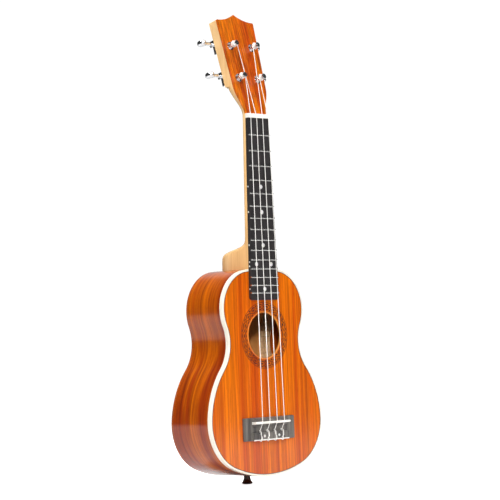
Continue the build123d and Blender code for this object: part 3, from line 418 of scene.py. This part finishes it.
# ---- Mesh helpers -------------------------------------------------------------------------------
def finish_piece(mesh, name, material, body, smooth=True):
    """Turn a bmesh into a named piece that rides on a body."""
    bmesh.ops.recalc_face_normals(mesh, faces=mesh.faces)
    data = bpy.data.meshes.new(name)
    mesh.to_mesh(data)
    mesh.free()
    data.materials.append(MATERIALS[material])
    for polygon in data.polygons:
        polygon.use_smooth = smooth
    piece = bpy.data.objects.new(name, data)
    bpy.context.scene.collection.objects.link(piece)
    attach(piece, body)
    return piece


def add_band(mesh, inner, outer, front, back, closed=True):
    """Flat band between two lines of (x, z) points, from depth front to depth back."""
    rings = [
        [mesh.verts.new((x, y, z)) for x, z in line]
        for y, line in ((front, inner), (front, outer), (back, outer), (back, inner))
    ]
    count = len(inner)
    for step in range(count if closed else count - 1):
        after = (step + 1) % count
        for ring, beside in zip(rings, rings[1:] + rings[:1]):
            mesh.faces.new((ring[step], beside[step], beside[after], ring[after]))
    if not closed:
        for end in (0, -1):
            mesh.faces.new([ring[end] for ring in rings])


TUBE_MIDDLE = ((0, 1),)
TUBE_START = ((-0.6, 0.55), (-0.25, 0.9), (0, 1))
TUBE_END = ((0, 1), (0.25, 0.9), (0.6, 0.55))


def add_tube(mesh, points, radius, sides=10):
    """Round tube along a list of points, with no twist.

    Each point has one ring. The two ends have three, which dome them: a ring's shift along the
    tube and its size, as shares of the radius.
    """
    points = [Vector(p) for p in points]
    last = len(points) - 1
    ways = [(points[min(i + 1, last)] - points[max(i - 1, 0)]).normalized() for i in range(last + 1)]
    across = ways[0].orthogonal().normalized()
    rings = []
    for i, (point, way) in enumerate(zip(points, ways)):
        across = (across - way * across.dot(way)).normalized()
        up = way.cross(across)
        for shift, share in {0: TUBE_START, last: TUBE_END}.get(i, TUBE_MIDDLE):
            centre = point + way * shift * radius
            ring = []
            for k in range(sides):
                turn = 2 * pi * k / sides
                ring.append(mesh.verts.new(centre + (across * cos(turn) + up * sin(turn)) * radius * share))
            rings.append(ring)
    for ring, beside in zip(rings, rings[1:]):
        for k in range(sides):
            after = (k + 1) % sides
            mesh.faces.new((ring[k], ring[after], beside[after], beside[k]))
    mesh.faces.new(rings[0])
    mesh.faces.new(rings[-1])


def smooth_line(corners, steps=6):
    """Points on a smooth curve through the corners (Catmull-Rom)."""
    corners = [Vector(c) for c in corners]
    ends = [2 * corners[0] - corners[1]] + corners + [2 * corners[-1] - corners[-2]]
    line = []
    for a, b, c, d in zip(ends, ends[1:], ends[2:], ends[3:]):
        for step in range(steps):
            t = step / steps
            line.append(
                0.5 * (2 * b + (c - a) * t + (2 * a - 5 * b + 4 * c - d) * t**2
                       + (3 * b - a - 3 * c + d) * t**3)
            )
    return line + [corners[-1]]


# ---- Body details -------------------------------------------------------------------------------
def round_line(radius, count=192):
    """Points of a circle about the soundhole."""
    return [
        (radius * sin(2 * pi * k / count), HOLE_Z + radius * cos(2 * pi * k / count))
        for k in range(count)
    ]


def braid_edge(phase, side):
    """One edge of a wave that runs round the soundhole; side is -1 inside and 1 outside."""
    count = BRAID_WAVES * STEPS_PER_WAVE
    line = []
    for k in range(count):
        turn = 2 * pi * k / count
        wave = sin(BRAID_WAVES * turn + phase)
        radius = BRAID_MIDDLE + BRAID_SWING * wave + side * (BRAID_HALF_W + BRAID_SWELL * abs(wave))
        line.append((radius * sin(turn), HOLE_Z + radius * cos(turn)))
    return line


def make_rosette():
    """Etched braid round the soundhole: two crossing waves, seeds in their eyes, two borders."""
    mesh = bmesh.new()
    front, back = TOP_Y - INLAY_PROUD, TOP_Y + INLAY_DEEP
    for middle, width in ROSETTE_BORDERS:
        add_band(mesh, round_line(middle - width / 2), round_line(middle + width / 2), front, back)
    for phase in (0.0, pi):
        add_band(mesh, braid_edge(phase, -1), braid_edge(phase, 1), front, back)
    for k in range(2 * BRAID_WAVES):
        turn = pi * (k + 0.5) / BRAID_WAVES
        add_seed(mesh, BRAID_MIDDLE, turn, EYE_SEED, front, back)
        for radius in EDGE_SEED_RADII:
            add_seed(mesh, radius, turn + pi / (2 * BRAID_WAVES), EDGE_SEED, front, back)
    finish_piece(mesh, "rosette", "etched", "root", smooth=False)


def add_seed(mesh, radius, turn, half_sizes, front, back, sides=12):
    """Small pointed oval, long way round the soundhole."""
    half_long, half_wide = half_sizes
    rim = []
    for k in range(sides):
        angle = 2 * pi * k / sides
        out = radius + half_wide * sin(angle) * abs(sin(angle)) ** SEED_BLUNTNESS
        around = turn + half_long * cos(angle) / radius
        rim.append((out * sin(around), HOLE_Z + out * cos(around)))
    rings = [[mesh.verts.new((x, y, z)) for x, z in rim] for y in (front, back)]
    for k in range(sides):
        after = (k + 1) % sides
        mesh.faces.new((rings[0][k], rings[0][after], rings[1][after], rings[1][k]))
    mesh.faces.new(rings[0])
    mesh.faces.new(rings[1])


def make_hole_edge():
    """Sanded pale rim round the soundhole, rounded over."""
    mesh = bmesh.new()
    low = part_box("soundboard")[1].y
    profile = [
        (HOLE_R + 1.3 * MM, TOP_Y + INLAY_DEEP), (HOLE_R + 1.3 * MM, TOP_Y - INLAY_PROUD),
        (HOLE_R + 0.5 * MM, TOP_Y - INLAY_PROUD), (HOLE_R + 0.1 * MM, TOP_Y + 0.1 * MM),
        (HOLE_R - 0.15 * MM, TOP_Y + 0.5 * MM), (HOLE_R - 0.15 * MM, low),
        (HOLE_R + 0.1 * MM, low),
    ]
    rings = [[mesh.verts.new((x, y, z)) for x, z in round_line(radius)] for radius, y in profile]
    for ring, beside in zip(rings, rings[1:] + rings[:1]):
        for k in range(len(ring)):
            after = (k + 1) % len(ring)
            mesh.faces.new((ring[k], ring[after], beside[after], beside[k]))
    finish_piece(mesh, "soundhole_edge", "edge", "root")


def top_outline():
    """The soundboard's outer edge as (x, z) points, in order round the body."""
    hole = Vector((0, HOLE_Z))
    points = {
        (round(v.co.x, 6), round(v.co.z, 6))
        for v in frame["nodes"]["soundboard"].data.vertices
        if abs(v.co.y - TOP_Y) < SAME_PLACE and (Vector((v.co.x, v.co.z)) - hole).length > HOLE_R + MM
    }
    return sorted(points, key=lambda p: atan2(p[0], p[1] - BODY_MID_Z))


def make_purfling():
    """Thin dark line between the top and the binding."""
    outline = [Vector(p) for p in top_outline()]
    inner = []
    for before, here, after in zip(outline[-1:] + outline, outline, outline[1:] + outline[:1]):
        way = (after - before).normalized()
        inner.append(here + Vector((way.y, -way.x)) * PURFLING_W)
    mesh = bmesh.new()
    add_band(mesh, inner, outline, TOP_Y - INLAY_PROUD, TOP_Y + INLAY_DEEP)
    finish_piece(mesh, "purfling", "etched", "root", smooth=False)


def make_label_rules():
    """Blank ruled lines and a border on the paper label, which leans with the back."""
    low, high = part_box("label")
    slope = (high.y - low.y - LABEL_T) / (high.z - low.z)
    left, right = low.x + LABEL_MARGIN, high.x - LABEL_MARGIN
    rules = [(left, right, z) for z in (low.z + LABEL_MARGIN, high.z - LABEL_MARGIN)]
    for k in range(RULE_COUNT):
        rules.append((low.x + RULE_START, right - RULE_INSET, low.z + RULE_FIRST + RULE_STEP * k))
    mesh = bmesh.new()
    for start, end, z in rules:
        face = high.y - LABEL_T - slope * (z - low.z)
        lower, upper = [[(x, z + shift) for x in (start, end)] for shift in (-RULE_HALF_H, RULE_HALF_H)]
        add_band(mesh, lower, upper, face - RULE_PROUD, face + RULE_DEEP, closed=False)
    finish_piece(mesh, "label_rules", "etched", "root", smooth=False)


# ---- String details -----------------------------------------------------------------------------
def make_knot(number):
    """Loop of string round itself in front of the tie block, tucked back under its own strand."""
    x = (number - 2.5) * SADDLE_SPACING
    strand = BRIDGE_LOW.z
    block_y = STRIP_LOW.y - STRING_R
    lean = 1 if number % 2 else -1
    corners = [
        (0, block_y, 7.6), (0.1, block_y - 0.05 * MM, 9.0), (0.55, block_y + 1.1 * MM, 10.2),
        (0.95, block_y + 2.6 * MM, 10.9), (0.3, block_y + 3.4 * MM, 11.5),
        (-0.75, block_y + 2.4 * MM, 11.6), (-0.9, block_y + 0.9 * MM, 10.7),
        (-0.95, block_y - 0.05 * MM, 9.2), (-0.9, block_y - 0.1 * MM, 7.0),
        (-0.5, block_y - 0.55 * MM, 5.2), (0.35, block_y - 0.8 * MM, 4.2),
        (1.1, block_y - 0.2 * MM, 3.2), (1.7, block_y - 0.05 * MM, 1.9),
    ]
    path = [(x + lean * side * MM, y, strand + rise * MM) for side, y, rise in corners]
    mesh = bmesh.new()
    add_tube(mesh, smooth_line(path), STRING_R)
    finish_piece(mesh, f"string_knot_{number}", "nylon", "root")


COIL_START, COIL_TURNS = 0.6, 3.4  # radians on from the inner side, and turns
COIL_HEIGHTS = (6.7 * MM, 9.3 * MM)
CUT_END = ((0, 0), (1.2 * MM, 0.3 * MM), (3.4 * MM, 1.1 * MM))  # on from the coil, and out of it
LEAD_TURNS, LEAD_END = 1.3, 5.95 * MM
LEAD_DOWN_BY = 0.45  # share of the lead at which it is down at its last height
TIGHT_FROM = 0.8  # share of a coil at which it reaches its last radius


def post_axes(number):
    """A post's foot on the headstock's face, and the directions inwards, up the head and out of it."""
    joint = next(j for j in frame["joints"] if j["name"] == f"post_turn_{number}")
    foot, out = Vector(joint["pos_m"]), Vector(joint["axis"])
    inwards = Vector((-1 if foot.x > 0 else 1, 0, 0))
    up = Vector((0, -out.z, out.y)) * (-1 if out.y < 0 else 1)
    return foot, inwards, up.normalized(), out


def coil(number, start, turns, radii, heights, level_from=1.0, steps=28):
    """Points of a coil round a post, from its inner side over the top.

    The share of the way along runs from 0 to 1, and level_from is where the last height is reached.
    """
    foot, inwards, up, out = post_axes(number)
    count = int(turns * steps)
    line = []
    for k in range(count + 1):
        share = k / count
        turn = start + 2 * pi * turns * share
        radius = radii[0] + (radii[1] - radii[0]) * min(1, share / TIGHT_FROM)
        height = heights[0] + (heights[1] - heights[0]) * min(1, share / level_from)
        line.append(foot + (inwards * cos(turn) + up * sin(turn)) * radius + out * height)
    return line


def make_winding(number):
    """The turns on a post with their cut end, and the loose last turn that leads the string in."""
    seat = POST_WAIST_R + STRING_R
    turns = coil(number, COIL_START, COIL_TURNS, (seat, seat), COIL_HEIGHTS)
    out = post_axes(number)[3]
    way = (turns[-1] - turns[-2]).normalized()
    tail = [turns[-1] + way * ahead + out * rise for ahead, rise in CUT_END]
    mesh = bmesh.new()
    add_tube(mesh, turns + smooth_line(tail)[1:], STRING_R)
    winding = finish_piece(mesh, f"string_turns_{number}", "nylon", f"post_{number}")
    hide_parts(f"string_winding_{number}")
    mesh = bmesh.new()
    radii, heights = (STRING_BESIDE_POST, seat), (STRING_ABOVE_HEAD, LEAD_END)
    lead = coil(number, 0.0, LEAD_TURNS, radii, heights, LEAD_DOWN_BY)
    add_tube(mesh, lead, STRING_R)
    finish_piece(mesh, f"string_lead_{number}", "nylon", "root")


# ---- Stage --------------------------------------------------------------------------------------
def make_floor():
    """White to the eye; what the object sees is pale nearby and dim far off."""
    mesh = bmesh.new()
    bmesh.ops.create_circle(mesh, cap_ends=True, segments=96, radius=FLOOR_R)
    data = bpy.data.meshes.new("floor")
    mesh.to_mesh(data)
    mesh.free()
    floor = bpy.data.objects.new("floor", data)
    floor.location.z = cad_box[0].z - FLOOR_GAP
    bpy.context.scene.collection.objects.link(floor)
    material, tree, shader, place = new_material("pale_floor")
    speck = noise(tree, stretched(tree, place, (30.0, 30.0, 30.0)), 2.0)
    seen = add_node(tree, "ShaderNodeLightPath").outputs["Is Camera Ray"]
    glow = add_node(tree, "ShaderNodeMix", {0: seen, 2: FLOOR_GLOW, 3: 1.0}, data_type="FLOAT").outputs[0]
    reach = add_node(tree, "ShaderNodeVectorMath", {0: place}, operation="LENGTH").outputs["Value"]
    far = ramp(tree, reach, FLOOR_LIT_TO, FLOOR_DIM_FROM)
    lit = mix(tree, speck, colour("E6E6E6"), colour("DEDEDE"))
    dress(
        shader, Base_Color=mix(tree, far, lit, colour("4A4A4A")), Roughness=0.9,
        Emission_Color=WHITE, Emission_Strength=glow,
    )
    data.materials.append(material)


def make_sky():
    """White to the eye; what the object sees is dim, but for the zenith and a patch at the rear."""
    world = bpy.data.worlds.new("studio")
    bpy.context.scene.world = world
    world.use_nodes = True
    tree = world.node_tree
    way = add_node(tree, "ShaderNodeTexCoord").outputs["Generated"]
    height = add_node(tree, "ShaderNodeSeparateXYZ", {0: way}).outputs[2]
    right_rear = add_node(
        tree, "ShaderNodeVectorMath", {0: way, 1: SKY_PATCH_WAY}, operation="DOT_PRODUCT"
    ).outputs["Value"]
    level = math(tree, "ADD", ramp(tree, height, *SKY_ZENITH), ramp(tree, right_rear, *SKY_PATCH))
    seen = add_node(tree, "ShaderNodeLightPath").outputs["Is Camera Ray"]
    strength = add_node(tree, "ShaderNodeMix", {0: seen, 2: level, 3: SKY_SEEN}, data_type="FLOAT").outputs[0]
    background = tree.nodes["Background"]
    put(background.inputs["Color"], WHITE)
    put(background.inputs["Strength"], strength)


def aim(name, data, place, way):
    """Put a light in the scene, pointing along a way."""
    light = bpy.data.objects.new(name, data)
    light.location = place
    light.rotation_euler = way.to_track_quat("-Z", "Y").to_euler()
    bpy.context.scene.collection.objects.link(light)


def make_light(name, place, size, power):
    data = bpy.data.lights.new(name, "AREA")
    data.shape, data.size, data.energy = "DISK", size, power
    aim(name, data, place, Vector(LIGHT_TARGET) - Vector(place))


def make_beam():
    """Narrow light that goes in at the soundhole and reaches the lining at the back's right."""
    data = bpy.data.lights.new("beam", "SPOT")
    data.energy, data.spot_size = BEAM_WATTS, radians(BEAM_SPREAD)
    data.spot_blend, data.shadow_soft_size = BEAM_SOFTNESS, BEAM_SIZE
    way = Vector(BEAM_WAY).normalized()
    aim("beam", data, Vector((0, TOP_Y, HOLE_Z)) - BEAM_REACH * way, way)


def make_camera():
    az, el, roll = radians(CAMERA_AZIMUTH), radians(CAMERA_ELEVATION), radians(CAMERA_ROLL)
    ahead = Vector((-sin(az) * cos(el), cos(az) * cos(el), -sin(el)))
    level = ahead.cross(Vector((0, 0, 1))).normalized()
    upright = level.cross(ahead)
    right = cos(roll) * level + sin(roll) * upright
    up = cos(roll) * upright - sin(roll) * level
    turned = Matrix((right, up, -ahead)).transposed().to_4x4()
    data = bpy.data.cameras.new("camera")
    data.lens, data.sensor_width = CAMERA_LENS, CAMERA_SENSOR
    camera = bpy.data.objects.new("camera", data)
    camera.matrix_world = Matrix.Translation(CAMERA_PLACE) @ turned
    bpy.context.scene.collection.objects.link(camera)
    bpy.context.scene.camera = camera


def make_stage():
    make_floor()
    make_sky()
    for light in LIGHTS:
        make_light(*light)
    make_beam()
    bpy.context.scene.view_settings.view_transform = "Standard"


make_camera()
make_stage()
bare_inside(MATERIALS["back"], colour("B87C44"), *back_inner_plane())
dress_nodes()
make_rosette()
make_hole_edge()
make_purfling()
make_label_rules()
for number in (1, 2, 3, 4):
    make_knot(number)
    make_winding(number)
